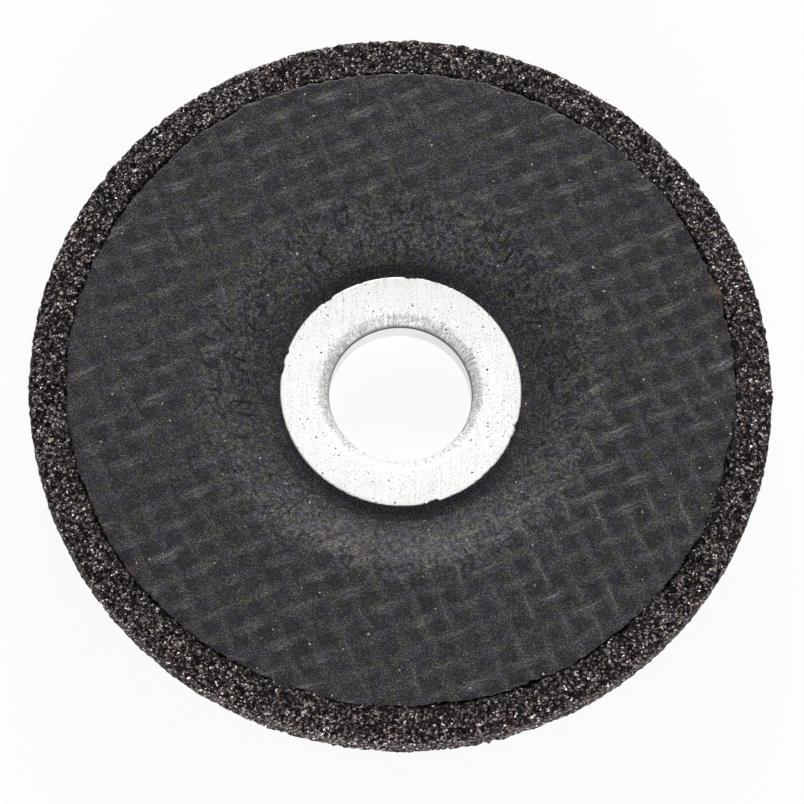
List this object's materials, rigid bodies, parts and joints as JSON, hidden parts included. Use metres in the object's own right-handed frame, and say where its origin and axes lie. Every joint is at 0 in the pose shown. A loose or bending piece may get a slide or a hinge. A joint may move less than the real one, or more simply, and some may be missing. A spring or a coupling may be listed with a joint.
{
  "type": "depressed-centre cut-off wheel",
  "caption": "Depressed-centre abrasive wheel for an angle grinder: black resin-bonded grit with glass mesh in both faces and a flanged steel ring lining the bore.",
  "frame": {"origin": "on the wheel's axis, at the back face of the hub, which the wheel rests on", "axes": "+Z along the wheel's axis, out of the recess; X and Y along the threads of the mesh"},
  "size_m": [0.115, 0.115, 0.0106],
  "materials": {
    "grit": "black resin-bonded abrasive grit, pressed, rough and matt with small sparkling grains",
    "mesh": "glass-fibre mesh soaked in black resin, pressed, satin with raised threads",
    "ring": "pressed sheet steel, bright and bare with small black specks"
  },
  "bodies": {
    "root": {"abrasive_body": "grit", "front_mesh": "mesh", "back_mesh": "mesh", "centre_ring": "ring"}
  },
  "joints": []
}
